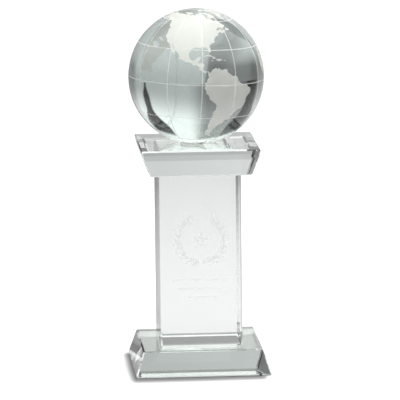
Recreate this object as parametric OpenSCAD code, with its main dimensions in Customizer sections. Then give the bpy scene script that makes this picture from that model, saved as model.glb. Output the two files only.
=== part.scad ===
// Crystal column trophy: a solid globe bonded to a flared capital, a square
// column and a tapered base. The blocks are cut and polished optical glass,
// joined face to face by thin films of clear adhesive.
//
// Units are millimetres and +Z is up. The origin is the centre of the base's
// underside, and the front of the column faces -Y.

/* [Base] */
// Side of the base's square underside
base_low_side = 80; // [60:1:120]
// Side of the base's square top
base_top_side = 70; // [60:1:110]
// Height of the base
base_h = 15; // [8:0.5:30]

/* [Column] */
// Side of the column's square section
column_side = 48; // [30:1:58]
// Height of the column
column_h = 102; // [60:1:200]

/* [Capital] */
// Side of the capital's square underside
capital_low_side = 60; // [40:1:80]
// Side of the capital's square top
capital_top_side = 70; // [50:1:100]
// Height of the capital
capital_h = 16; // [10:0.5:30]
// Height of the steeper lip round the capital's top
capital_lip_h = 4.6; // [2:0.1:8]
// How far each side of the lip leans in from its top to its foot
capital_lip_lean = 1; // [0:0.1:3]

/* [Globe] */
// Diameter of the globe
globe_d = 80; // [50:1:120]
// Diameter of the flat that is ground under the globe
globe_foot_d = 20; // [8:0.5:30]

/* [Edges and bonds] */
// Width of the polished bevel along the edges of the blocks
edge_bevel = 0.8; // [0.3:0.1:2]
// Thickness of the adhesive film in each joint
bond_t = 0.1; // [0.05:0.01:0.3]
// How far each film stays inside the edge of the smaller face that it joins
bond_inset = 0.2; // [0.1:0.1:1]

/* [Hidden] */
$fn = 96;

// Levels of the stack, from the underside up
base_bond_z = base_h;
column_z = base_bond_z + bond_t;
capital_bond_z = column_z + column_h;
capital_z = capital_bond_z + bond_t;
globe_bond_z = capital_z + capital_h;
globe_foot_z = globe_bond_z + bond_t;
// The flat under the globe sets how far the ball's centre stands above it
globe_centre_z = globe_foot_z + sqrt(pow(globe_d / 2, 2) - pow(globe_foot_d / 2, 2));

// What a film leaves free along each side of the face it lies on
bond_border = edge_bevel + bond_inset;
base_bond_side = min(column_side, base_top_side) - 2 * bond_border;
capital_bond_side = min(column_side, capital_low_side) - 2 * bond_border;
globe_bond_d = min(globe_foot_d, capital_top_side - 2 * edge_bevel) - 2 * bond_inset;

// The sides of each block, seen square on: [half width, height], from the foot up
base_sides = [[base_low_side / 2, 0], [base_top_side / 2, base_h]];
column_sides = [[column_side / 2, 0], [column_side / 2, column_h]];
capital_sides = [
    [capital_low_side / 2, 0],
    [capital_top_side / 2 - capital_lip_lean, capital_h - capital_lip_h],
    [capital_top_side / 2, capital_h]
];

// How far a side leans over the height of the bevel
function lean(from, to) = (to[0] - from[0]) / (to[1] - from[1]) * edge_bevel;

// A closed outline from its right-hand points, from the foot up
module mirrored(right)
{
    polygon(concat(right, [for (i = [len(right) - 1:-1:0]) [-right[i][0], right[i][1]]]));
}

// Outline of a block seen square on, with the edge bevel cut off its four corners
module side_outline(sides)
{
    last = len(sides) - 1;
    foot = sides[0];
    top = sides[last];
    foot_lean = lean(foot, sides[1]);
    top_lean = lean(sides[last - 1], top);
    mirrored(concat(
        [[foot[0] - edge_bevel, foot[1]], [foot[0] + foot_lean, foot[1] + edge_bevel]],
        [for (i = [1:1:last - 1]) sides[i]],
        [[top[0] - top_lean, top[1] - edge_bevel], [top[0] - edge_bevel, top[1]]]
    ));
}

// The outline seen along a diagonal, which cuts the bevel down the block's corners
module corner_outline(sides)
{
    mirrored([for (side = sides) [(2 * side[0] - edge_bevel) / sqrt(2), side[1]]]);
}

// Turns an outline upright and carries it across the whole block
module across(turn, reach)
{
    rotate([90, 0, turn]) linear_extrude(height = reach, center = true) children();
}

// A square block of cut glass: four leaning or upright sides, every edge bevelled
module cut_block(sides)
{
    reach = 4 * max([for (side = sides) side[0]]);
    intersection() {
        across(0, reach) side_outline(sides);
        across(90, reach) side_outline(sides);
        across(45, reach) corner_outline(sides);
        across(-45, reach) corner_outline(sides);
    }
}

// A square film of cured adhesive
module square_bond(side)
{
    linear_extrude(height = bond_t) square(side, center = true);
}

// Tapered block that the award stands on
module base()
{
    color([0.78, 0.84, 0.82]) cut_block(base_sides);
}

// Film between the base and the column
module base_bond()
{
    color([0.93, 0.96, 0.95]) translate([0, 0, base_bond_z]) square_bond(base_bond_side);
}

// Upright block whose front carries the engraving
module column()
{
    color([0.88, 0.91, 0.90]) translate([0, 0, column_z]) cut_block(column_sides);
}

// Film between the column and the capital
module capital_bond()
{
    color([0.93, 0.96, 0.95]) translate([0, 0, capital_bond_z]) square_bond(capital_bond_side);
}

// Flared block with a steeper lip, which carries the globe
module capital()
{
    color([0.82, 0.86, 0.85]) translate([0, 0, capital_z]) cut_block(capital_sides);
}

// Round film under the globe
module globe_bond()
{
    color([0.93, 0.96, 0.95]) translate([0, 0, globe_bond_z]) cylinder(d = globe_bond_d, h = bond_t);
}

// Solid ball, ground flat underneath
module globe()
{
    color([0.66, 0.71, 0.76]) difference() {
        translate([0, 0, globe_centre_z]) sphere(d = globe_d);
        translate([-globe_d, -globe_d, globe_foot_z - globe_d]) cube([2 * globe_d, 2 * globe_d, globe_d]);
    }
}

base();
base_bond();
column();
capital_bond();
capital();
globe_bond();
globe();
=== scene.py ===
"""A crystal column trophy: a solid globe with etched lands, on a flared capital, a square column and a tapered base."""

import math
import random

import bmesh
import bpy
import numpy as np
from mathutils import Matrix, Vector
from mathutils.geometry import delaunay_2d_cdt


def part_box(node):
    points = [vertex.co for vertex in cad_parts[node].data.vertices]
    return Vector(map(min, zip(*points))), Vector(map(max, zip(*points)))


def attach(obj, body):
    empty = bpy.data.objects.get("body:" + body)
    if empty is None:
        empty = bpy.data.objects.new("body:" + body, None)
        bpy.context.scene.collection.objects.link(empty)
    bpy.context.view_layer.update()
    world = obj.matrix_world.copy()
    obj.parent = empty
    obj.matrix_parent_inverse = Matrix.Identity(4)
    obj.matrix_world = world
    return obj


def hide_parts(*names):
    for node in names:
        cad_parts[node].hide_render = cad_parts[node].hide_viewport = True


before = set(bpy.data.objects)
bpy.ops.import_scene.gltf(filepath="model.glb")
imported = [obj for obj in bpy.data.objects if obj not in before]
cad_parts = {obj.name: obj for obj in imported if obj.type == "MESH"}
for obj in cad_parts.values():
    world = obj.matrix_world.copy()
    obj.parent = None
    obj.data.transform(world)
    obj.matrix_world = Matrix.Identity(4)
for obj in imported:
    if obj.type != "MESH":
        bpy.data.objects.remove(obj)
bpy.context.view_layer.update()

scene = bpy.context.scene

# ---------------------------------------------------------------------------------------------
# Base
# One block of lead-free optical crystal, square, with four sloping sides. It is sawn from a slab,
# ground flat, has its edges broken, and is polished on every face.
# ---------------------------------------------------------------------------------------------


class Socket:
    """One output of a node, so that sums and products of masks read as they are written."""

    def __init__(self, tree, socket):
        self.tree, self.socket = tree, socket

    def _maths(self, operation, first, second=None):
        values = {0: first} if second is None else {0: first, 1: second}
        return node(self.tree, "ShaderNodeMath", {"operation": operation}, values)

    def __add__(self, other): return self._maths("ADD", self, other)
    def __radd__(self, other): return self._maths("ADD", other, self)
    def __sub__(self, other): return self._maths("SUBTRACT", self, other)
    def __rsub__(self, other): return self._maths("SUBTRACT", other, self)
    def __mul__(self, other): return self._maths("MULTIPLY", self, other)
    def __rmul__(self, other): return self._maths("MULTIPLY", other, self)
    def __truediv__(self, other): return self._maths("DIVIDE", self, other)
    def __gt__(self, other): return self._maths("GREATER_THAN", self, other)
    def __abs__(self): return self._maths("ABSOLUTE", self)
    def sine(self): return self._maths("SINE", self)
    def cosine(self): return self._maths("COSINE", self)
    def angle_from(self, other): return self._maths("ARCTAN2", self, other)
    def larger(self, other): return self._maths("MAXIMUM", self, other)

    def ramp(self, low, high, low_value=0.0, high_value=1.0):
        """Goes smoothly from low_value at low to high_value at high."""
        return node(self.tree, "ShaderNodeMapRange", {"interpolation_type": "SMOOTHSTEP"},
                    {0: self, 1: low, 2: high, 3: low_value, 4: high_value})


def node(tree, kind, settings=None, values=None, output=0):
    """Adds a node: its settings first, then the values or links of its sockets. Returns one output."""
    made = tree.nodes.new(kind)
    for name, value in (settings or {}).items():
        setattr(made, name, value)
    for key, value in (values or {}).items():
        for each in value if isinstance(value, list) else [value]:
            if isinstance(each, Socket):
                tree.links.new(each.socket, made.inputs[key])
            else:
                made.inputs[key].default_value = each
    return Socket(tree, made.outputs[output]) if made.outputs else made


def material(name):
    made = bpy.data.materials.new(name)
    made.use_nodes = True
    made.node_tree.nodes.clear()
    return made, made.node_tree


def finish_with(tree, surface):
    node(tree, "ShaderNodeOutputMaterial", values={"Surface": surface})


def along(tree, vector):
    """The three parts of a vector."""
    return [node(tree, "ShaderNodeSeparateXYZ", values={"Vector": vector}, output=i) for i in range(3)]


glass_index, wipe_haze = 1.52, 0.004


def polished_crystal(name, tint):
    """Clear optical glass, with the faint haze and the slow waviness that a polishing wheel leaves."""
    made, tree = material(name)
    where = node(tree, "ShaderNodeTexCoord", output="Object")
    smear = node(tree, "ShaderNodeTexNoise", values={"Vector": where, "Scale": 70.0, "Detail": 3.0, "Roughness": 0.6})
    wheel = node(tree, "ShaderNodeTexNoise", values={"Vector": where, "Scale": 45.0, "Detail": 1.0})
    wavy = node(tree, "ShaderNodeBump", values={"Height": wheel, "Strength": 0.03, "Distance": 0.0004})
    finish_with(tree, node(tree, "ShaderNodeBsdfPrincipled", values={
        "Base Color": (*tint, 1), "Roughness": smear.ramp(0.45, 0.75, 0.0, wipe_haze), "IOR": glass_index,
        "Transmission Weight": 1.0, "Normal": wavy}))
    return made


def wetted_joint(name):
    """Where clear adhesive wets two blocks no light is turned, so a face inside a joint can't be seen."""
    made, tree = material(name)
    finish_with(tree, node(tree, "ShaderNodeBsdfTransparent"))
    return made


def block_from(part):
    """The block as it was machined, merged into one closed mesh with flat faces."""
    bm = bmesh.new()
    bm.from_mesh(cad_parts[part].data)
    bmesh.ops.remove_doubles(bm, verts=bm.verts, dist=1e-6)
    bmesh.ops.dissolve_limit(bm, angle_limit=math.radians(0.5), verts=bm.verts, edges=bm.edges)
    for face in bm.faces:
        face.smooth, face.material_index = False, 0
    return bm


def wet_patch(bm, level, outline):
    """Marks off the part of the flat face at that height which the adhesive wets."""
    face = max((f for f in bm.faces if abs(f.calc_center_median().z - level) < 1e-6), key=lambda f: f.calc_area())
    rim, way = list(face.edges), 1 if face.normal.z > 0 else -1
    bmesh.ops.delete(bm, geom=[face], context="FACES_ONLY")
    ring = [bm.verts.new((x, y, level)) for x, y in outline]
    loop = [bm.edges.new((ring[i - 1], ring[i])) for i in range(len(ring))]
    bmesh.ops.triangle_fill(bm, use_beauty=True, use_dissolve=False, edges=rim + loop, normal=(0, 0, way))
    wetted = [f for f in bm.faces if all(v in ring for v in f.verts)] or [bm.faces.new(ring[::way])]
    for face in wetted:
        face.material_index = 1


def square(half):
    return [(-half, -half), (half, -half), (half, half), (-half, half)]


def piece(name, mesh, finishes, stands_for=None):
    """A finished piece: it rides on the award, takes its slot and, where it does, stands for a machined solid."""
    made = bpy.data.objects.new(name, mesh)
    scene.collection.objects.link(made)
    for each in finishes if not mesh.materials else []:
        mesh.materials.append(each)
    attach(made, "root")
    if stands_for:
        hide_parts(stands_for)
    return made


def outward(name, bm):
    """Turns every face outwards and writes the mesh."""
    bmesh.ops.recalc_face_normals(bm, faces=bm.faces)
    mesh = bpy.data.meshes.new(name)
    bm.to_mesh(mesh)
    bm.free()
    return mesh


# The base is the same crystal as the column, tinted darker: painted shade that sets how bright the base looks.
base_crystal = polished_crystal("base_crystal", (0.64, 0.69, 0.665))
joint_face = wetted_joint("joint_face")

low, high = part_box("base")
base = block_from("base")
wet_patch(base, high.z, square(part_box("base_bond")[1].x))
piece("base_block", outward("base_block", base), [base_crystal, joint_face], "base")

# ---------------------------------------------------------------------------------------------
# Adhesive films
# A tenth of a millimetre of clear adhesive, cured with ultraviolet light, holds the column, the
# capital and the globe. It is squeezed out nearly to the blocks' edges, where it shows as a pale line.
# ---------------------------------------------------------------------------------------------


def clear_adhesive(name, half, round_joint):
    """Cured adhesive: unseen inside the joint, with a pale line at its rim and a few trapped bubbles."""
    made, tree = material(name)
    where = node(tree, "ShaderNodeTexCoord", output="Object")
    x, y, z = along(tree, where)
    if round_joint:
        out = node(tree, "ShaderNodeVectorMath", {"operation": "LENGTH"},
                   {0: node(tree, "ShaderNodeCombineXYZ", values={0: x, 1: y})}, output="Value")
    else:
        out = abs(x).larger(abs(y))
    bubbles = node(tree, "ShaderNodeTexVoronoi", values={"Vector": where, "Scale": 260.0}, output="Distance")
    seen = out.ramp(half - 0.0007, half, 0.0, 0.35).larger(bubbles.ramp(0.04, 0.07, 0.25, 0.0))
    cured = node(tree, "ShaderNodeBsdfPrincipled", values={
        "Base Color": (0.86, 0.88, 0.86, 1), "Roughness": (bubbles * 0.2) + 0.3})
    clear = node(tree, "ShaderNodeBsdfTransparent")
    finish_with(tree, node(tree, "ShaderNodeMixShader", values={0: seen, 1: clear, 2: cured}))
    return made


for part, round_joint in (("base_bond", False), ("capital_bond", False), ("globe_bond", True)):
    film = clear_adhesive(part + "_adhesive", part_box(part)[1].x, round_joint)
    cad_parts[part].data.materials.clear()
    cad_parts[part].data.materials.append(film)

# ---------------------------------------------------------------------------------------------
# Column
# A square prism of the same crystal, sawn and polished on six faces, and bonded upright in the
# middle of the base.
# ---------------------------------------------------------------------------------------------
low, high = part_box("column")
column_low, column_high = low, high
column = block_from("column")
wet_patch(column, low.z, square(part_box("base_bond")[1].x))
wet_patch(column, high.z, square(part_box("capital_bond")[1].x))
column_crystal = polished_crystal("column_crystal", (0.86, 0.885, 0.875))
piece("column_block", outward("column_block", column), [column_crystal, joint_face], "column")

# ---------------------------------------------------------------------------------------------
# Engraving on the column
# A plain award ornament: a laurel wreath round a star over three rules. The real one is sand-blasted
# into the front face. This one lies on the face, a few hundredths of a millimetre proud of it.
# ---------------------------------------------------------------------------------------------


def sized_tree(name, sizes):
    """A Geometry Nodes tree with a named input for each size. Returns it and those inputs."""
    tree = bpy.data.node_groups.new(name, "GeometryNodeTree")
    for label, kind in sizes.items():
        tree.interface.new_socket(name=label, in_out="INPUT", socket_type="NodeSocket" + kind)
    tree.interface.new_socket(name="Geometry", in_out="OUTPUT", socket_type="NodeSocketGeometry")
    entry = tree.nodes.new("NodeGroupInput")
    return tree, {label: Socket(tree, entry.outputs[label]) for label in sizes}


def joined(tree, shapes):
    return node(tree, "GeometryNodeJoinGeometry", values={"Geometry": shapes})


def placed(tree, shape, move=None, turn=None):
    values = {"Geometry": shape}
    if move is not None:
        values["Translation"] = move
    if turn is not None:
        values["Rotation"] = turn
    return node(tree, "GeometryNodeTransform", values=values)


def vector(tree, x=0.0, y=0.0, z=0.0):
    return node(tree, "ShaderNodeCombineXYZ", values={0: x, 1: y, 2: z})


def thickened(tree, sheet, depth):
    """A closed solid of that depth on a flat or curved sheet."""
    raised = node(tree, "GeometryNodeExtrudeMesh", {"mode": "FACES"},
                  {"Mesh": sheet, "Offset Scale": depth, "Individual": False})
    under = node(tree, "GeometryNodeFlipFaces", values={"Mesh": sheet})
    return node(tree, "GeometryNodeMergeByDistance",
                values={"Geometry": joined(tree, [raised, under]), "Distance": 2e-6})


def grown(name, tree, shape, finish, sizes):
    """Ends the tree, runs it with these sizes and keeps what it makes as one plain mesh."""
    whole = node(tree, "GeometryNodeRealizeInstances", values={"Geometry": shape})
    coated = node(tree, "GeometryNodeSetMaterial", values={"Geometry": whole, "Material": finish})
    node(tree, "NodeGroupOutput", values={"Geometry": coated})
    maker = bpy.data.objects.new(name + "_maker", bpy.data.meshes.new(name + "_maker"))
    run = maker.modifiers.new(name, "NODES")
    run.node_group = tree
    for item in tree.interface.items_tree:
        if item.in_out == "INPUT":
            run[item.identifier] = sizes[item.name]
    scene.collection.objects.link(maker)
    bpy.context.view_layer.update()
    mesh = bpy.data.meshes.new_from_object(maker.evaluated_get(bpy.context.evaluated_depsgraph_get()))
    bpy.data.objects.remove(maker)
    mesh.name = name
    return mesh


def frosted(name, opacity, shade, through, second_sight=1.0):
    """Sand-blasted crystal: a fine white grain, denser in some places than in others. What is seen
    through or in the glass keeps only the second_sight share of its opacity."""
    made, tree = material(name)
    where = node(tree, "ShaderNodeTexCoord", output="Object")
    grain = node(tree, "ShaderNodeTexNoise", values={"Vector": where, "Scale": 3000.0, "Detail": 2.0})
    blast = node(tree, "ShaderNodeTexNoise", values={"Vector": where, "Scale": 250.0, "Detail": 2.0})
    rough = node(tree, "ShaderNodeBump", values={"Height": grain, "Strength": 0.3, "Distance": 0.0001})
    white = node(tree, "ShaderNodeBsdfPrincipled", values={
        "Base Color": (*shade, 1), "Roughness": grain.ramp(0.3, 0.7, 0.6, 0.85), "IOR": 1.2,
        "Transmission Weight": through, "Normal": rough})
    clear = node(tree, "ShaderNodeBsdfTransparent")
    direct = node(tree, "ShaderNodeLightPath", output="Is Camera Ray")
    seen = opacity * (direct * (1 - second_sight) + second_sight)
    seen = seen * blast.ramp(0.25, 0.75, 0.8, 1.15) * grain.ramp(0.3, 0.7, 0.85, 1.1)
    finish_with(tree, node(tree, "ShaderNodeMixShader", values={0: seen, 1: clear, 2: white}))
    return made


engraved = frosted("engraved_frost", 0.30, (1.0, 1.0, 1.0), 0.0)
tree, size = sized_tree("laurel_ornament", {
    "Wreath Radius": "Float", "Leaf Length": "Float", "Leaf Width": "Float", "Leaves": "Int",
    "Stem Width": "Float", "Star Radius": "Float", "Rule Length": "Float", "Rule Width": "Float",
    "Rule Spacing": "Float", "Rules Below": "Float", "Depth": "Float", "Place": "Vector"})
blank = node(tree, "GeometryNodeMeshGrid", values={
    "Size X": size["Leaf Length"], "Size Y": size["Leaf Width"], "Vertices X": 9, "Vertices Y": 3})
x, y, z = along(tree, node(tree, "GeometryNodeInputPosition"))
share = (x + x) / size["Leaf Length"]
leaf = node(tree, "GeometryNodeSetPosition", values={
    "Geometry": blank, "Position": vector(tree, x + size["Leaf Length"] * 0.4, y * (1 - share * share), z)})
leaf = node(tree, "GeometryNodeMergeByDistance", values={"Geometry": leaf, "Distance": 1e-6})
leaf = thickened(tree, leaf, size["Depth"])
engraving = []
for side in (1, -1):
    stem = node(tree, "GeometryNodeCurveArc", {"mode": "RADIUS"}, {
        "Resolution": 48, "Radius": size["Wreath Radius"],
        "Start Angle": math.radians(-90 + side * 6), "Sweep Angle": side * math.radians(138)})
    heading = node(tree, "GeometryNodeInputTangent")
    hx, hy, _ = along(tree, heading)
    for splay in (28, -28):
        turn = vector(tree, z=hy.angle_from(hx) + math.radians(splay))
        nodes_of_stem = node(tree, "GeometryNodeResampleCurve", {"mode": "COUNT"},
                             {"Curve": stem, "Count": size["Leaves"]})
        engraving.append(node(tree, "GeometryNodeInstanceOnPoints", values={
            "Points": nodes_of_stem, "Instance": leaf, "Rotation": turn}))
    strip = node(tree, "GeometryNodeCurvePrimitiveQuadrilateral", {"mode": "RECTANGLE"},
                 {"Width": size["Stem Width"], "Height": size["Depth"]})
    run = node(tree, "GeometryNodeCurveToMesh", values={"Curve": stem, "Profile Curve": strip, "Fill Caps": True})
    engraving.append(placed(tree, run, vector(tree, z=size["Depth"] * 0.5)))
star = node(tree, "GeometryNodeCurveStar", values={
    "Points": 5, "Inner Radius": size["Star Radius"] * 0.42, "Outer Radius": size["Star Radius"]})
star = placed(tree, star, turn=(0, 0, math.radians(90)))
engraving.append(thickened(tree, node(tree, "GeometryNodeFillCurve", values={"Curve": star}), size["Depth"]))
for index, share in enumerate((1.0, 0.82, 0.5)):
    rule = node(tree, "GeometryNodeMeshCube", values={
        "Size": vector(tree, size["Rule Length"] * share, size["Rule Width"], size["Depth"])})
    drop = (size["Rules Below"] + size["Rule Spacing"] * index) * -1
    engraving.append(placed(tree, rule, vector(tree, 0.0, drop, size["Depth"] * 0.5)))
ornament = placed(tree, joined(tree, engraving), size["Place"], (math.radians(90), 0, 0))
mesh = grown("column_engraving", tree, ornament, engraved, {
    "Wreath Radius": 0.0135, "Leaf Length": 0.0058, "Leaf Width": 0.0019, "Leaves": 10, "Stem Width": 0.0003,
    "Star Radius": 0.0058, "Rule Length": 0.034, "Rule Width": 0.0007, "Rule Spacing": 0.0052,
    "Rules Below": 0.0235, "Depth": 0.00003,
    "Place": (0, column_low.y - 0.00002, column_low.z + 0.62 * (column_high.z - column_low.z))})
piece("column_engraving", mesh, [engraved])

# ---------------------------------------------------------------------------------------------
# Capital
# A square block of the same crystal that widens upwards to a steeper lip, ground and polished
# like the base, and bonded on top of the column.
# ---------------------------------------------------------------------------------------------


def circle(radius, count=96):
    turn = [2 * math.pi * i / count for i in range(count)]
    return [(radius * math.cos(t), radius * math.sin(t)) for t in turn]


low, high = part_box("capital")
capital = block_from("capital")
wet_patch(capital, low.z, square(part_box("capital_bond")[1].x))
wet_patch(capital, high.z, circle(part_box("globe_bond")[1].x))
# The capital is the same crystal as the column, tinted darker: painted shade that sets how bright the capital looks.
capital_crystal = polished_crystal("capital_crystal", (0.77, 0.81, 0.80))
piece("capital_block", outward("capital_block", capital), [capital_crystal, joint_face], "capital")

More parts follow.
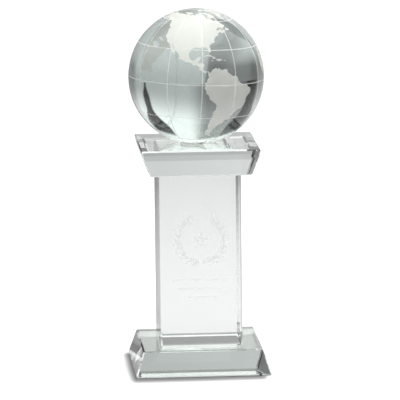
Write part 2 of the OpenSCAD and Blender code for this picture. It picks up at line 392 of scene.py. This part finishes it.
# ---------------------------------------------------------------------------------------------
# Globe
# A solid ball of crystal, ground and polished, with a small flat foot that is bonded to the capital.
# The seas stay polished; the lands are sand-blasted through a mask, so they are white and rough.
# ---------------------------------------------------------------------------------------------
coasts = {
    "americas": """
        -168 66, -162 66.5, -166 68.3, -157 71.3, -141 69.7, -135 69, -128 70.2, -124 69.5, -115 68,
        -108 68, -101 67.8, -95 68, -94 71.8, -90 69, -85 69.5, -81 68, -78 62.3, -73.5 62.3, -70 61,
        -69.5 59, -66 58.8, -64.7 60.3, -62 57.5, -60 55.2, -57.3 54, -56 52, -59.5 50.3, -66.5 50.2,
        -70.5 47, -65 49, -65 47.5, -64 46, -60.5 47, -60 45.9, -63.5 44.5, -66 43.6, -66 44.8, -64.8 45.5,
        -67 44.8, -70 43.7, -70.8 42.3, -70 41.7, -72.5 41, -74 40.5, -75 38.8, -76 37, -75.6 35.3,
        -78 33.9, -81 32, -81.3 30, -80.2 27, -80.4 25.3, -81.7 25.9, -82.8 28, -84 30, -85.5 29.8,
        -88 30.3, -89.3 29.1, -91.5 29.5, -94.5 29.5, -97 28, -97.4 26, -97.8 22.5, -96.3 19.3, -94.5 18.2,
        -91.8 18.5, -90.5 20.5, -87 21.5, -87.7 19, -88.3 17.5, -88.8 15.9, -85 16, -83.2 15, -83.7 11.5,
        -82.3 9.2, -80 9.2, -77.5 8.7, -76.8 8, -75.5 10.6, -74.5 11.1, -72 12.1, -71.5 10.8, -70 12,
        -68 10.6, -62 10.7, -60.8 8.6, -57 6, -52 4.8, -50 1, -48 -0.8, -44.3 -2.6, -40 -2.9, -37 -4.8,
        -35.2 -5.5, -34.8 -8, -37 -11, -39 -13.5, -39 -17.5, -40.5 -21, -42 -22.9, -46.5 -24.2, -48.6 -27,
        -50.2 -30, -53.5 -34, -56.5 -34.9, -58.3 -34.2, -57 -36.3, -58 -38.2, -62 -39, -62.3 -41, -65 -41,
        -63.8 -42.6, -65.3 -44.5, -67.5 -46.3, -65.8 -47.8, -69 -50.8, -68.4 -52.4, -65.3 -54.7, -69 -55.4,
        -73.5 -53, -75.5 -50, -75.3 -46.6, -72.8 -44, -74 -41.5, -73.3 -37.2, -71.5 -33, -71.5 -30,
        -70.3 -25, -70.2 -18.4, -76.2 -13.9, -79.5 -7.8, -81.3 -4.7, -80 -2.8, -80.8 -1, -79 1.5, -77.4 4,
        -77.9 7.2, -79.5 8.9, -80.4 7.4, -83 8.2, -85.8 10.2, -87.7 13, -91.5 14, -94.5 16.2, -99.8 16.8,
        -105.3 19.7, -105.5 22, -109 25.6, -112.2 29, -114.7 31.8, -114 30, -112.6 27.7, -109.5 23.1,
        -112 24.7, -115 28, -117.1 32.5, -120.6 34.5, -122.5 37.7, -124.3 40.4, -124 44, -124.7 48.4,
        -122.5 48.5, -127.8 51, -130.3 54.5, -134 58, -139.7 59.6, -146 60.6, -149.5 59.7, -152 60.8,
        -154 58.5, -158.5 56.2, -164.5 54.6, -160 56, -157.3 58.7, -162 58.8, -165.5 61.5, -161 64.3,
        -166 64.4""",
    "baffin": """
        -61.5 66.5, -64 63.2, -71 62.6, -77.5 64.7, -73.5 65.5, -73 68, -78 70, -89.5 71.2, -89 73.2,
        -85 73.8, -80.5 72.5, -77.5 72.8, -71 71, -67 69.2""",
    "victoria": "-105 69.2, -116 69.2, -118.5 72.5, -112 73, -105 73, -102 70.5",
    "banks": "-120 71.2, -125.5 72, -123 74.4, -117 73",
    "ellesmere": "-77 78, -89 76.8, -92 79.5, -86 82, -70 83, -62 82.4, -72 79.8",
    "devon": "-80 75.5, -92 74.8, -92 76.2, -80 76",
    "newfoundland": "-52.8 47.5, -53.7 46.7, -59.2 47.6, -57 50.7, -55.6 51.6, -56.5 49.8, -53.2 49.2",
    "cuba": """
        -84.9 21.9, -82.8 23, -80.5 23.1, -77 21.8, -74.2 20.2, -77.7 19.9, -77.2 20.6, -78.7 21.6,
        -81.8 22.2""",
    "hispaniola": "-74.4 18.5, -72.8 19.9, -69.9 19.7, -68.4 18.6, -70.5 18.2, -71.6 17.7",
    "jamaica": "-78.3 18.3, -77 18.5, -76.3 18, -77.6 17.8",
    "puerto_rico": "-67.2 18.4, -65.7 18.4, -65.8 18, -67.2 18",
    "greenland": """
        -44 60, -48.5 61.2, -51.5 64, -53.5 67, -51 69.5, -54.5 71, -58 75.5, -68 76.1, -72 78, -66 80,
        -60 82, -45 82.6, -32 83.6, -20 82.5, -12.5 81.5, -18 80, -19.5 77, -20 74.5, -22 70.5, -27 68.5,
        -33 67.5, -39.5 65.5, -41.5 63""",
    "iceland": "-24.3 65.5, -22.5 66.4, -20 65.8, -16 66.5, -13.7 65, -18.5 63.4, -22.7 63.9",
    "britain": """
        -5.5 50.1, 1.3 51.1, 1.7 52.6, 0 53.5, -1.6 55.3, -3 56, -2 57.6, -4 57.7, -3 58.6, -5 58.5,
        -5.8 57, -4.8 54.8, -3 54, -4.5 53.2, -5 51.8, -3 51.4""",
    "ireland": "-6 52.2, -9.8 51.5, -10 53.8, -8.3 55.2, -5.6 54.5",
    "africa": """
        -5.9 35.8, -2 35.2, 3 36.9, 10 37.3, 10.2 34.2, 15.2 32.3, 19 30.3, 20.1 32.3, 25 31.6, 32.3 31.2,
        32.6 29.9, 35.5 24, 37.3 21, 38.5 18, 43.2 12.3, 44.5 10.5, 51.2 11.9, 46 3, 41.5 -1.8, 39.2 -5,
        40.6 -11, 40.6 -15, 35 -20, 35.4 -24, 32.8 -26.5, 32.4 -28.5, 30 -31.2, 25.7 -34, 20 -34.8,
        18.4 -34.2, 15.2 -27, 14.4 -22.5, 11.8 -17.5, 13.6 -12.5, 12.3 -6.5, 9 -1, 9.3 4, 6 4.3, 4.5 6.3,
        -2 4.8, -7.7 4.4, -13.2 8.6, -16.7 12.3, -17.4 14.8, -16.3 19, -17 21, -13.2 27.5, -9.8 30,
        -9.2 32.5""",
    "madagascar": "49.3 -12, 50.5 -15.5, 47 -25, 45 -25.5, 43.5 -22, 44.4 -20, 46 -15.7",
    "eurasia": """
        32.3 31.2, 34.3 31.3, 36 35.5, 36 36.8, 34 36.3, 30.5 36.5, 27.5 36.8, 26.3 38.5, 26.3 40.3,
        24 40.9, 22.7 40.4, 23 39, 24 37.9, 22.7 36.6, 21.3 37.7, 19.5 40, 19.5 41.8, 16 43.5, 13.6 45.5,
        12.3 45.3, 12.5 44, 14 42.6, 16 41.9, 18.4 40.2, 17 39, 16 38, 15.7 40, 14.2 40.8, 12.3 41.8,
        10.3 43.3, 8.8 44.4, 7 43.6, 3.2 43.2, 3.2 41.9, 0.3 40.3, -0.2 38.8, -2 36.8, -5.6 36.3,
        -8.9 37.1, -9.4 38.8, -8.8 41.5, -9.2 43.1, -1.8 43.4, -1.2 46, -4.7 48.2, -1.8 48.7, 0.2 49.6,
        2.5 51.1, 4.8 53, 8.5 53.7, 8.2 56.9, 10.5 57.6, 10.8 56.3, 9.8 54.7, 14.3 53.9, 18.7 54.6,
        21 55.5, 21.2 57, 24.2 57.2, 23.6 59.2, 28 59.5, 29.8 60, 22.5 60.3, 21.3 62.8, 25 65, 22 65.3,
        17.5 62, 18.8 60, 16.5 58, 15.8 56.1, 12.8 55.6, 11.2 58.5, 10.6 59.3, 7.8 58, 5.3 59, 5 61.8,
        10 64, 13.5 67.5, 18 69.6, 25.8 71, 31 70.4, 41 67.5, 40.5 66.3, 34 66.8, 34.8 64.5, 38 64.2,
        44 66, 44 68.4, 54 68.4, 60.5 68.9, 68 68.3, 67 71.5, 69 72.8, 73 71.5, 73.5 68, 75 72.5, 81 73.5,
        87 75, 98 76.2, 104.2 77.6, 113 75.8, 110 74, 113.5 73.5, 127 73.3, 129.5 71, 140 72.6, 152 71,
        160 69.7, 170 69.8, 180 69, 190.2 66.2, 187 64.5, 180 64.8, 177.5 62.5, 170 60, 163.5 58.5,
        162.5 56.5, 156.8 51.1, 155.8 56.5, 161.5 60.5, 155 59.3, 143 59.3, 135.3 54.7, 141.2 52.8,
        140.5 48.5, 135.5 44.2, 131 42.8, 129.7 41, 127.5 39.7, 129.4 37, 129 35.2, 126.5 34.5, 126.6 37.3,
        124.5 39.9, 121.5 39, 121.8 40.8, 118 39.1, 119.2 37.3, 122.4 37.2, 119.3 34.9, 121.8 31.7,
        121.8 29, 119.5 25.6, 116.5 23, 110.3 21, 108 21.6, 105.8 19, 109.2 12.5, 106.8 10.3, 104.8 8.7,
        103 11, 100.9 13.4, 99.3 11, 100.3 8.3, 103.5 4.5, 104.2 1.4, 101.2 3.2, 98.5 8, 98.6 13,
        97.6 16.5, 94.3 16, 92 21.5, 90.5 22.5, 87 21.3, 82.3 16.6, 80.2 15, 80 10.5, 77.6 8.1, 76.3 10,
        73 17, 72.7 21, 70.4 20.8, 69 22.3, 66.6 25, 61.7 25.1, 57 27, 54 26.7, 50.8 29.2, 48.5 30,
        50 26.7, 51.3 24.5, 54 24.1, 56.3 26.2, 56.6 24.3, 59.8 22.5, 57.8 19, 55 17, 52 15.5, 45 12.8,
        43.3 12.8, 42.6 16.5, 39.1 21.3, 35 28, 34.9 29.4, 34.2 27.8, 32.6 29.9""",
    "black_sea": """
        28 42, 31 41.2, 35 42, 38.5 41, 41.5 41.6, 38.5 44.4, 36.7 45.3, 33.5 44.6, 32.6 46, 30.5 46.3,
        28.6 43.8""",
    "caspian_sea": """
        49.2 41.5, 47.5 43, 47 44.8, 51 46.8, 53 45.3, 52.5 41.5, 54 39, 53.8 37, 50 37.5, 49.2 40""",
    "sumatra": "95.3 5.6, 98 4.2, 103.5 -1, 106 -3, 105.8 -5.8, 102.3 -4, 98.7 1.7",
    "java": "105.2 -6.8, 112.7 -6.9, 114.5 -7.8, 114.3 -8.6, 108 -7.8",
    "borneo": "109 1.5, 111.5 2.5, 116.8 7, 119 5.2, 117.8 1, 116.3 -3.8, 114.5 -4, 110.2 -2.8",
    "sulawesi": "119.5 -3.5, 119.8 0.2, 124.8 1.5, 120.8 0.4, 123.3 -0.9, 121.5 -2, 122.8 -4.5, 120.5 -5.6",
    "new_guinea": """
        131 -0.8, 134 -0.8, 135 -3.3, 138 -1.7, 144.5 -3.9, 147.8 -6.2, 150.5 -10.5, 146 -8.6, 143 -9,
        138 -8.2, 138 -5.5, 133 -4""",
    "australia": """
        142.5 -10.7, 145.3 -15, 146.3 -18.8, 150.8 -23.5, 153.2 -27, 151.5 -33, 150 -37.5, 146.3 -39,
        143.5 -38.8, 140 -37.5, 138 -35.6, 137.8 -33, 135.8 -34.8, 131.2 -31.5, 124 -33, 118 -35,
        115.1 -34.2, 115.7 -31.7, 113.5 -26, 114 -22, 119 -20, 122.2 -18, 125 -15, 129 -15, 130.8 -12.4,
        135.5 -12, 136 -15, 139.3 -17.4, 141.7 -14""",
    "tasmania": "144.7 -40.7, 148.3 -40.9, 147.8 -43.2, 146 -43.5",
    "new_zealand_north": """
        172.7 -34.5, 175.3 -36.5, 178.5 -37.7, 177 -39.5, 175.2 -41.6, 173.8 -39.4, 174.8 -37.5""",
    "new_zealand_south": """
        172.7 -40.6, 174.3 -41.7, 172.8 -43.8, 170.7 -45.8, 168.5 -46.6, 166.5 -45.9, 169 -43.8,
        171.5 -41.8""",
    "honshu": """
        130 31.5, 131.8 33.8, 135.2 33.6, 139 34.7, 140.8 35.7, 142 39.5, 141.3 41.4, 140 40.5, 139.5 38.5,
        136.8 37.3, 136 35.7, 131 34.4, 129.7 33""",
    "hokkaido": "140.2 41.8, 143.2 42, 145.5 43.3, 141.8 45.4, 141.3 43.3",
    "luzon": "120.3 16, 120.8 18.5, 122.2 18.4, 121.6 15.8, 124 12.7, 120.7 13.8",
    "mindanao": "122 7, 124 8.5, 125.5 9.8, 126.5 7.5, 125.5 5.7",
    "taiwan": "120.2 23, 121.5 25.2, 121.9 24.5, 120.9 22",
    "sri_lanka": "79.8 7.5, 80 9.7, 81.8 7.3, 80.6 6",
    "antarctica": """
        -57 -63.5, -65 -67, -75 -71.5, -90 -72.5, -105 -74, -120 -73.8, -140 -74.5, -158 -76, -172 -77.5,
        170 -76, 168 -72, 155 -69, 140 -66.8, 120 -67, 100 -66, 85 -67, 70 -68.5, 55 -66.5, 40 -69, 20 -70,
        0 -70, -15 -72.5, -27 -75.5, -38 -77.5, -55 -76.5, -61 -72, -61 -67""",
}
map_set = Matrix.Rotation(math.radians(2.2), 3, "Y") @ Matrix.Rotation(math.radians(1.0), 3, "Z")
mask_slip = Matrix.Rotation(math.radians(-2.8), 3, "X") @ Matrix.Rotation(math.radians(-7.0), 3, "Z")


def on_mask(longitude, latitude):
    """The direction from the ball's centre of a place on the lands' mask, with the Americas to the front.
    The mask sits a little west and north of the lines, and it is drawn broad across the northern lands."""
    breadth = max(0.0, min((longitude + 124) / 64, (20 - longitude) / 80))
    swell = 8.0 * breadth * max(0.0, min(1.0, (latitude - 8) / 20))
    across, up = math.radians(longitude + swell + 90), math.radians(latitude)
    return map_set @ mask_slip @ Vector(
        (math.cos(up) * math.sin(across), -math.cos(up) * math.cos(across), math.sin(up)))


def ragged(start, end, depth=0):
    """The coast between two places: the same each time, finer and finer, as a hand-cut mask leaves it."""
    length = (end - start).length
    if length < 0.012 or depth > 6:
        return [start]
    first, last = sorted((tuple(start), tuple(end)))
    sway = random.Random(" ".join("%.5f" % c for c in first + last)).uniform(-0.17, 0.17)
    side = Vector(first).cross(Vector(last)).normalized()
    middle = ((start + end) * 0.5 + side * sway * length).normalized()
    return ragged(start, middle, depth + 1) + ragged(middle, end, depth + 1)


low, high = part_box("globe")
# The ball is two line depths smaller than its machined solid, so the map lines on it stay inside that.
line_depth = 0.00003
cad_r = 0.5 * (high.x - low.x)
globe_r = cad_r - 2 * line_depth
globe_c = Vector((0, 0, high.z - cad_r))
foot_r = math.sqrt(globe_r ** 2 - (globe_c.z - low.z) ** 2)
bond_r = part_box("globe_bond")[1].x

outlines = []
for name, places in coasts.items():
    corners = [on_mask(*(float(n) for n in place.split())) for place in places.split(",")]
    outlines.append([p for i, a in enumerate(corners) for p in ragged(a, corners[(i + 1) % len(corners)])])

# The ball is meshed as one skin seen from its foot: an even scatter of points, the coasts and the foot's edge.
foot_drop = (low.z - globe_c.z) / globe_r
spots, edges = [], []
for loop in outlines + [[Vector((x / globe_r, y / globe_r, foot_drop)) for x, y in circle(foot_r)]]:
    edges += [(len(spots) + i, len(spots) + (i + 1) % len(loop)) for i in range(len(loop))]
    spots += loop
scatter, golden = 36000, math.pi * (3 - math.sqrt(5))
for i in range(scatter):
    z = 1 - (2 * i + 1) / scatter
    if z > foot_drop + 0.001:
        out = math.sqrt(1 - z * z)
        spots.append(Vector((out * math.cos(golden * i), out * math.sin(golden * i), z)))
flat = [Vector((p.x / (1 + p.z), p.y / (1 + p.z))) for p in spots]
points, _, faces, _, _, _ = delaunay_2d_cdt(flat, edges, [], 0, 1e-7, True)


def back_on_ball(point):
    """A point of the flat skin, back in its place on the ball, as a direction."""
    reach = point.x ** 2 + point.y ** 2
    return Vector((2 * point.x, 2 * point.y, 1 - reach)) / (1 + reach)


ways = [back_on_ball(p) for p in points]
middles = np.array([[sum(points[i].x for i in f) / 3, sum(points[i].y for i in f) / 3] for f in faces])
# The far southern coast runs round all the rest in the flat skin, so what lies in an odd number of coasts is sea.
is_sea = np.zeros(len(faces), bool)
for loop in outlines:
    ring = np.array([[p.x / (1 + p.z), p.y / (1 + p.z)] for p in loop])
    near = np.flatnonzero(np.all((middles > ring.min(0)) & (middles < ring.max(0)), axis=1))
    for a, b in zip(ring, np.roll(ring, -1, 0)):
        if a[1] != b[1]:
            m = middles[near]
            hit = ((a[1] > m[:, 1]) != (b[1] > m[:, 1])) & (
                m[:, 0] < (b[0] - a[0]) * (m[:, 1] - a[1]) / (b[1] - a[1]) + a[0])
            is_sea[near[hit]] ^= True

bm = bmesh.new()
skin = [bm.verts.new(globe_c + way * globe_r) for way in ways]
for face, sea in zip(faces, is_sea):
    made = bm.faces.new([skin[i] for i in face])
    made.smooth, made.material_index = True, 0 if sea else 1
rim = [e for e in bm.edges if e.is_boundary]
rim_verts = {v for e in rim for v in e.verts}
for vert in rim_verts:
    vert.co.z = low.z
inner = {v: bm.verts.new((v.co.x * bond_r / foot_r, v.co.y * bond_r / foot_r, low.z)) for v in rim_verts}
for edge in rim:
    a, b = edge.verts
    bm.faces.new((a, b, inner[b], inner[a])).material_index = 0
centre = bm.verts.new((0, 0, low.z))
for edge in rim:
    a, b = edge.verts
    bm.faces.new((inner[a], inner[b], centre)).material_index = 2
bmesh.ops.recalc_face_normals(bm, faces=bm.faces)
mesh = bpy.data.meshes.new("globe_ball")
bm.to_mesh(mesh)
bm.free()
straight_down = Vector((0, 0, -1))
normals = []
for face in mesh.polygons:
    for i in face.vertices:
        normals.append((mesh.vertices[i].co - globe_c).normalized() if face.use_smooth else straight_down)
mesh.normals_split_custom_set(normals)


def etched_crystal(name):
    """Sand-blasted land: white and rough, and still letting some light into the ball."""
    made, tree = material(name)
    where = node(tree, "ShaderNodeTexCoord", output="Object")
    grain = node(tree, "ShaderNodeTexNoise", values={"Vector": where, "Scale": 2600.0, "Detail": 2.0})
    blast = node(tree, "ShaderNodeTexNoise", values={"Vector": where, "Scale": 180.0, "Detail": 3.0})
    pitted = node(tree, "ShaderNodeBump", values={"Height": grain, "Strength": 0.35, "Distance": 0.0001})
    tone = node(tree, "ShaderNodeMix", {"data_type": "RGBA"}, {
        "Factor": blast.ramp(0.3, 0.7), "A": (0.89, 0.91, 0.84, 1), "B": (0.95, 0.965, 0.90, 1)}, output=2)
    finish_with(tree, node(tree, "ShaderNodeBsdfPrincipled", values={
        "Base Color": tone, "Roughness": blast.ramp(0.3, 0.7, 0.55, 0.7), "IOR": glass_index,
        "Transmission Weight": 0.62, "Normal": pitted}))
    return made


# The ball's crystal is tinted darker still: painted shade that dims what is seen through it.
globe_crystal = polished_crystal("globe_crystal", (0.55, 0.615, 0.595))
land = etched_crystal("etched_land")
piece("globe_ball", mesh, [globe_crystal, land, joint_face], "globe")

# ---------------------------------------------------------------------------------------------
# Map lines
# Meridians and parallels every thirty degrees. The real hairlines are sand-blasted into the ball;
# these stand a few hundredths of a millimetre proud. The meridians stop short of the poles.
# ---------------------------------------------------------------------------------------------
hairline = frosted("hairline_frost", 0.9, (1.0, 1.0, 0.96), 0.5, 0.15)
tree, size = sized_tree("map_lines", {
    "Ball Radius": "Float", "Line Width": "Float", "Line Depth": "Float", "Pole Gap": "Float",
    "Meridian Rings": "Int", "Map Turn": "Vector", "Ball Centre": "Vector"})
ring = node(tree, "GeometryNodeMeshCone", {"fill_type": "NONE"}, {
    "Vertices": 180, "Side Segments": 1, "Radius Top": size["Ball Radius"],
    "Radius Bottom": size["Ball Radius"], "Depth": size["Line Width"]})
upright = placed(tree, placed(tree, ring, vector(tree, z=size["Line Width"] * -0.5)), turn=(math.radians(90), 0, 0))
x, y, z = along(tree, node(tree, "GeometryNodeInputPosition"))
cut = node(tree, "GeometryNodeDeleteGeometry", {"domain": "FACE"}, {
    "Geometry": upright, "Selection": abs(z) > size["Ball Radius"] * size["Pole Gap"].cosine()})
turns = node(tree, "GeometryNodeMeshLine", {"mode": "OFFSET"}, {"Count": size["Meridian Rings"], "Offset": (0, 0, 0)})
index = node(tree, "GeometryNodeInputIndex")
lines = [node(tree, "GeometryNodeInstanceOnPoints", values={
    "Points": turns, "Instance": thickened(tree, cut, size["Line Depth"]),
    "Rotation": vector(tree, z=index * math.pi / size["Meridian Rings"])})]
for latitude in (-60, -30, 0, 30, 60):
    half = size["Line Width"] * 0.5 / size["Ball Radius"]
    upper, lower = half + math.radians(latitude), math.radians(latitude) - half
    foot, top = size["Ball Radius"] * lower.sine(), size["Ball Radius"] * upper.sine()
    band = node(tree, "GeometryNodeMeshCone", {"fill_type": "NONE"}, {
        "Vertices": 180, "Side Segments": 1, "Radius Top": size["Ball Radius"] * upper.cosine(),
        "Radius Bottom": size["Ball Radius"] * lower.cosine(), "Depth": top - foot})
    lines.append(placed(tree, thickened(tree, band, size["Line Depth"]), vector(tree, z=foot)))
net = placed(tree, joined(tree, lines), size["Ball Centre"], size["Map Turn"])
mesh = grown("map_lines", tree, net, hairline, {
    "Ball Radius": globe_r + 0.2 * line_depth, "Line Width": 0.00044, "Line Depth": line_depth,
    "Pole Gap": math.radians(17), "Meridian Rings": 6, "Map Turn": tuple(map_set.to_euler()),
    "Ball Centre": tuple(globe_c)})
piece("map_lines", mesh, [hairline])

# ---------------------------------------------------------------------------------------------
# Studio
# White paper under the award, soft light from above, and a pale room with two dark flags behind
# the award. What the glass bends into view is toned apart from what is seen directly.
# ---------------------------------------------------------------------------------------------
world = bpy.data.worlds.new("studio")
scene.world = world
world.use_nodes = True
tree = world.node_tree
tree.nodes.clear()
# Bearings are in radians from straight behind the award, and positive to its right. In the room,
# z is the sine of the height above the horizon.
x, y, z = along(tree, node(tree, "ShaderNodeTexCoord", output="Generated"))
bearing = x.angle_from(y)
aside = abs(bearing)
lit_right, lit_far_left = bearing.ramp(-0.07, 0.18, 0.30, 1.0), bearing.ramp(-1.1, -0.8, 0.3, 0.0)
round_front = bearing.ramp(-3.0, -1.9, 1.0, 0.0)  # both sides meet at one tone in front of the award
walls = z.ramp(0.03, 0.45, 0.70, 1.7) * (lit_right + lit_far_left + round_front * 0.4)
right_at, left_at = 0.74, -0.72
flag_width, tip = z.ramp(0.28, 0.6, 0.045, 0.24), z.ramp(-0.02, 0.14, 0.05, 0.0)
right_flag = (abs(bearing - right_at) + tip).ramp(flag_width, flag_width + 0.05, 1, 0) * z.ramp(0.68, 0.78, 1, 0)
left_flag = abs(bearing - left_at).ramp(flag_width + 0.06, flag_width + 0.13, 1, 0) * z.ramp(0.72, 0.82, 1, 0)
low_sides = aside.ramp(0.95, 1.15) * aside.ramp(1.9, 2.2, 1, 0) * z.ramp(0.2, 0.5, 1, 0)
room = walls * aside.ramp(0.95, 1.5, 1.0, 0.55) * (1 - right_flag) * (1 - left_flag)
room = room * (1 - low_sides * 0.4)
overhead = z.ramp(0.73, 0.86, 0.0, 2.4)
backdrop, backdrop_light = node(tree, "ShaderNodeLightPath", output="Is Camera Ray"), 1.3
node(tree, "ShaderNodeOutputWorld", values={"Surface": node(tree, "ShaderNodeBackground", values={
    "Color": (1, 1, 1, 1), "Strength": room.larger(overhead) * (1 - backdrop) + backdrop * backdrop_light})})

paper_half, paper_drop = 3, 0.0003
mesh = bpy.data.meshes.new("paper_floor")
mesh.from_pydata([(x, y, -paper_drop) for x, y in square(paper_half)], [], [(0, 1, 2, 3)])
floor = bpy.data.objects.new("paper_floor", mesh)
scene.collection.objects.link(floor)
paper, tree = material("white_paper")
where = node(tree, "ShaderNodeTexCoord", output="Object")
x, y, z = along(tree, where)
fibre = node(tree, "ShaderNodeTexNoise", values={"Vector": where, "Scale": 900.0, "Detail": 3.0})
seen = node(tree, "ShaderNodeLightPath", output="Is Camera Ray")

# Seen directly, the paper is even but for a painted shadow close round the base's front and left.
beside, before = (abs(x + 0.003) - 0.0365).larger(0), (abs(y + 0.005) - 0.0365).larger(0)
painted_contact_shadow = (beside * beside * 3.0e4 + before * before * 4.0e3).ramp(-0.2, 1.0, 1.0, 0.0)
direct_tone = 1 - painted_contact_shadow * painted_contact_shadow * 0.85

# Seen through the glass or in it, the paper is painted darker with distance, to the left most of all: painted shade,
# with a painted shadow of the left flag and painted dimmer sides.
bearing, away = x.angle_from(y), x * x + y * y
aside, far = abs(bearing), away.ramp(0.01, 0.6)
kept = bearing.ramp(-0.11, 0.05, 0.40, 0.92) + bearing.ramp(-3.0, -1.9, 0.52, 0.0)
left_flag = abs(bearing + 0.78).ramp(0.03, 0.2, 0.5, 0)
sides = aside.ramp(0.9, 1.15) * aside.ramp(1.9, 2.2, 1, 0)
painted_falloff_shade = (1 - far * (1 - kept)) * (1 - far * left_flag) * (1 - far * sides * 0.45)

# Close behind the base, painted light lays a bright band at its foot and painted shade a dim one past it; under the
# base the paper is painted brighter, and to the left it is painted dim.
near_middle = abs(x).ramp(0.06, 0.08, 1, 0)
painted_bright_band = y.ramp(0.040, 0.042) * y.ramp(0.054, 0.057, 1, 0) * near_middle
painted_dim_band = y.ramp(0.056, 0.060) * y.ramp(0.085, 0.11, 1, 0) * near_middle
painted_light_under_base = away.ramp(0.0013, 0.0018, 0.4, 0.0)
painted_shade_left_behind = x.ramp(-0.034, -0.024, 1, 0) * y.ramp(0.05, 0.12) * x.ramp(-0.25, -0.12)
painted_light_bands = (1 - painted_dim_band * 0.5 + painted_bright_band * 0.5 + painted_light_under_base) * (1 - painted_shade_left_behind * 0.38)

# The paper under the base glows with painted light, which stands in for the light that the glass leads down to it.
reach = abs(x).larger(abs(y))
painted_glow = (reach.ramp(0.036, 0.041, 0.36, 0) + reach.ramp(0.022, 0.025, 0.8, 0)) * (1 - seen)

paper_white, glass_share = 0.92, 0.66
tone = paper_white * (seen * direct_tone + (1 - seen) * painted_falloff_shade * painted_light_bands * glass_share)
finish_with(tree, node(tree, "ShaderNodeBsdfPrincipled", values={
    "Base Color": vector(tree, tone, tone, tone), "Roughness": fibre.ramp(0.3, 0.7, 0.8, 0.95),
    "Specular IOR Level": 0.1, "Emission Color": vector(tree, painted_glow, painted_glow, painted_glow * 0.96), "Emission Strength": 1.0}))
mesh.materials.append(paper)


def soft_light(name, at, towards, width, power):
    lamp = bpy.data.objects.new(name, bpy.data.lights.new(name, "AREA"))
    scene.collection.objects.link(lamp)
    lamp.data.shape, lamp.data.size, lamp.data.energy = "DISK", width, power
    lamp.location = at
    lamp.rotation_euler = (Vector(towards) - Vector(at)).to_track_quat("-Z", "Y").to_euler()
    return lamp


top_light = soft_light("top_light", (0.2, 0.12, 0.9), (0, 0, 0), 0.7, 4.2)
top_light.visible_glossy = top_light.visible_transmission = False

# ---------------------------------------------------------------------------------------------
# Camera
# A long lens, a little to the left of the front and about ten degrees above the award.
# ---------------------------------------------------------------------------------------------
camera = bpy.data.objects.new("camera", bpy.data.cameras.new("camera"))
scene.collection.objects.link(camera)
scene.camera = camera
camera_turn, camera_away, camera_height = math.radians(-4.05), 2.8, 0.56885
look_down, lean, look_left = math.radians(9.54), math.radians(0.62), math.radians(0.03)
camera.location = (camera_away * math.sin(camera_turn), -camera_away * math.cos(camera_turn), camera_height)
camera.rotation_euler = (
    Matrix.Rotation(camera_turn - look_left, 3, "Z")
    @ Matrix.Rotation(math.pi / 2 - look_down, 3, "X")
    @ Matrix.Rotation(-lean, 3, "Z")
).to_euler()
camera.data.sensor_width = 36
camera.data.lens = 433.4
camera.data.clip_end = 50

scene.view_settings.view_transform = "Standard"
scene.cycles.max_bounces = 24
scene.cycles.transmission_bounces = 24
scene.cycles.transparent_max_bounces = 16
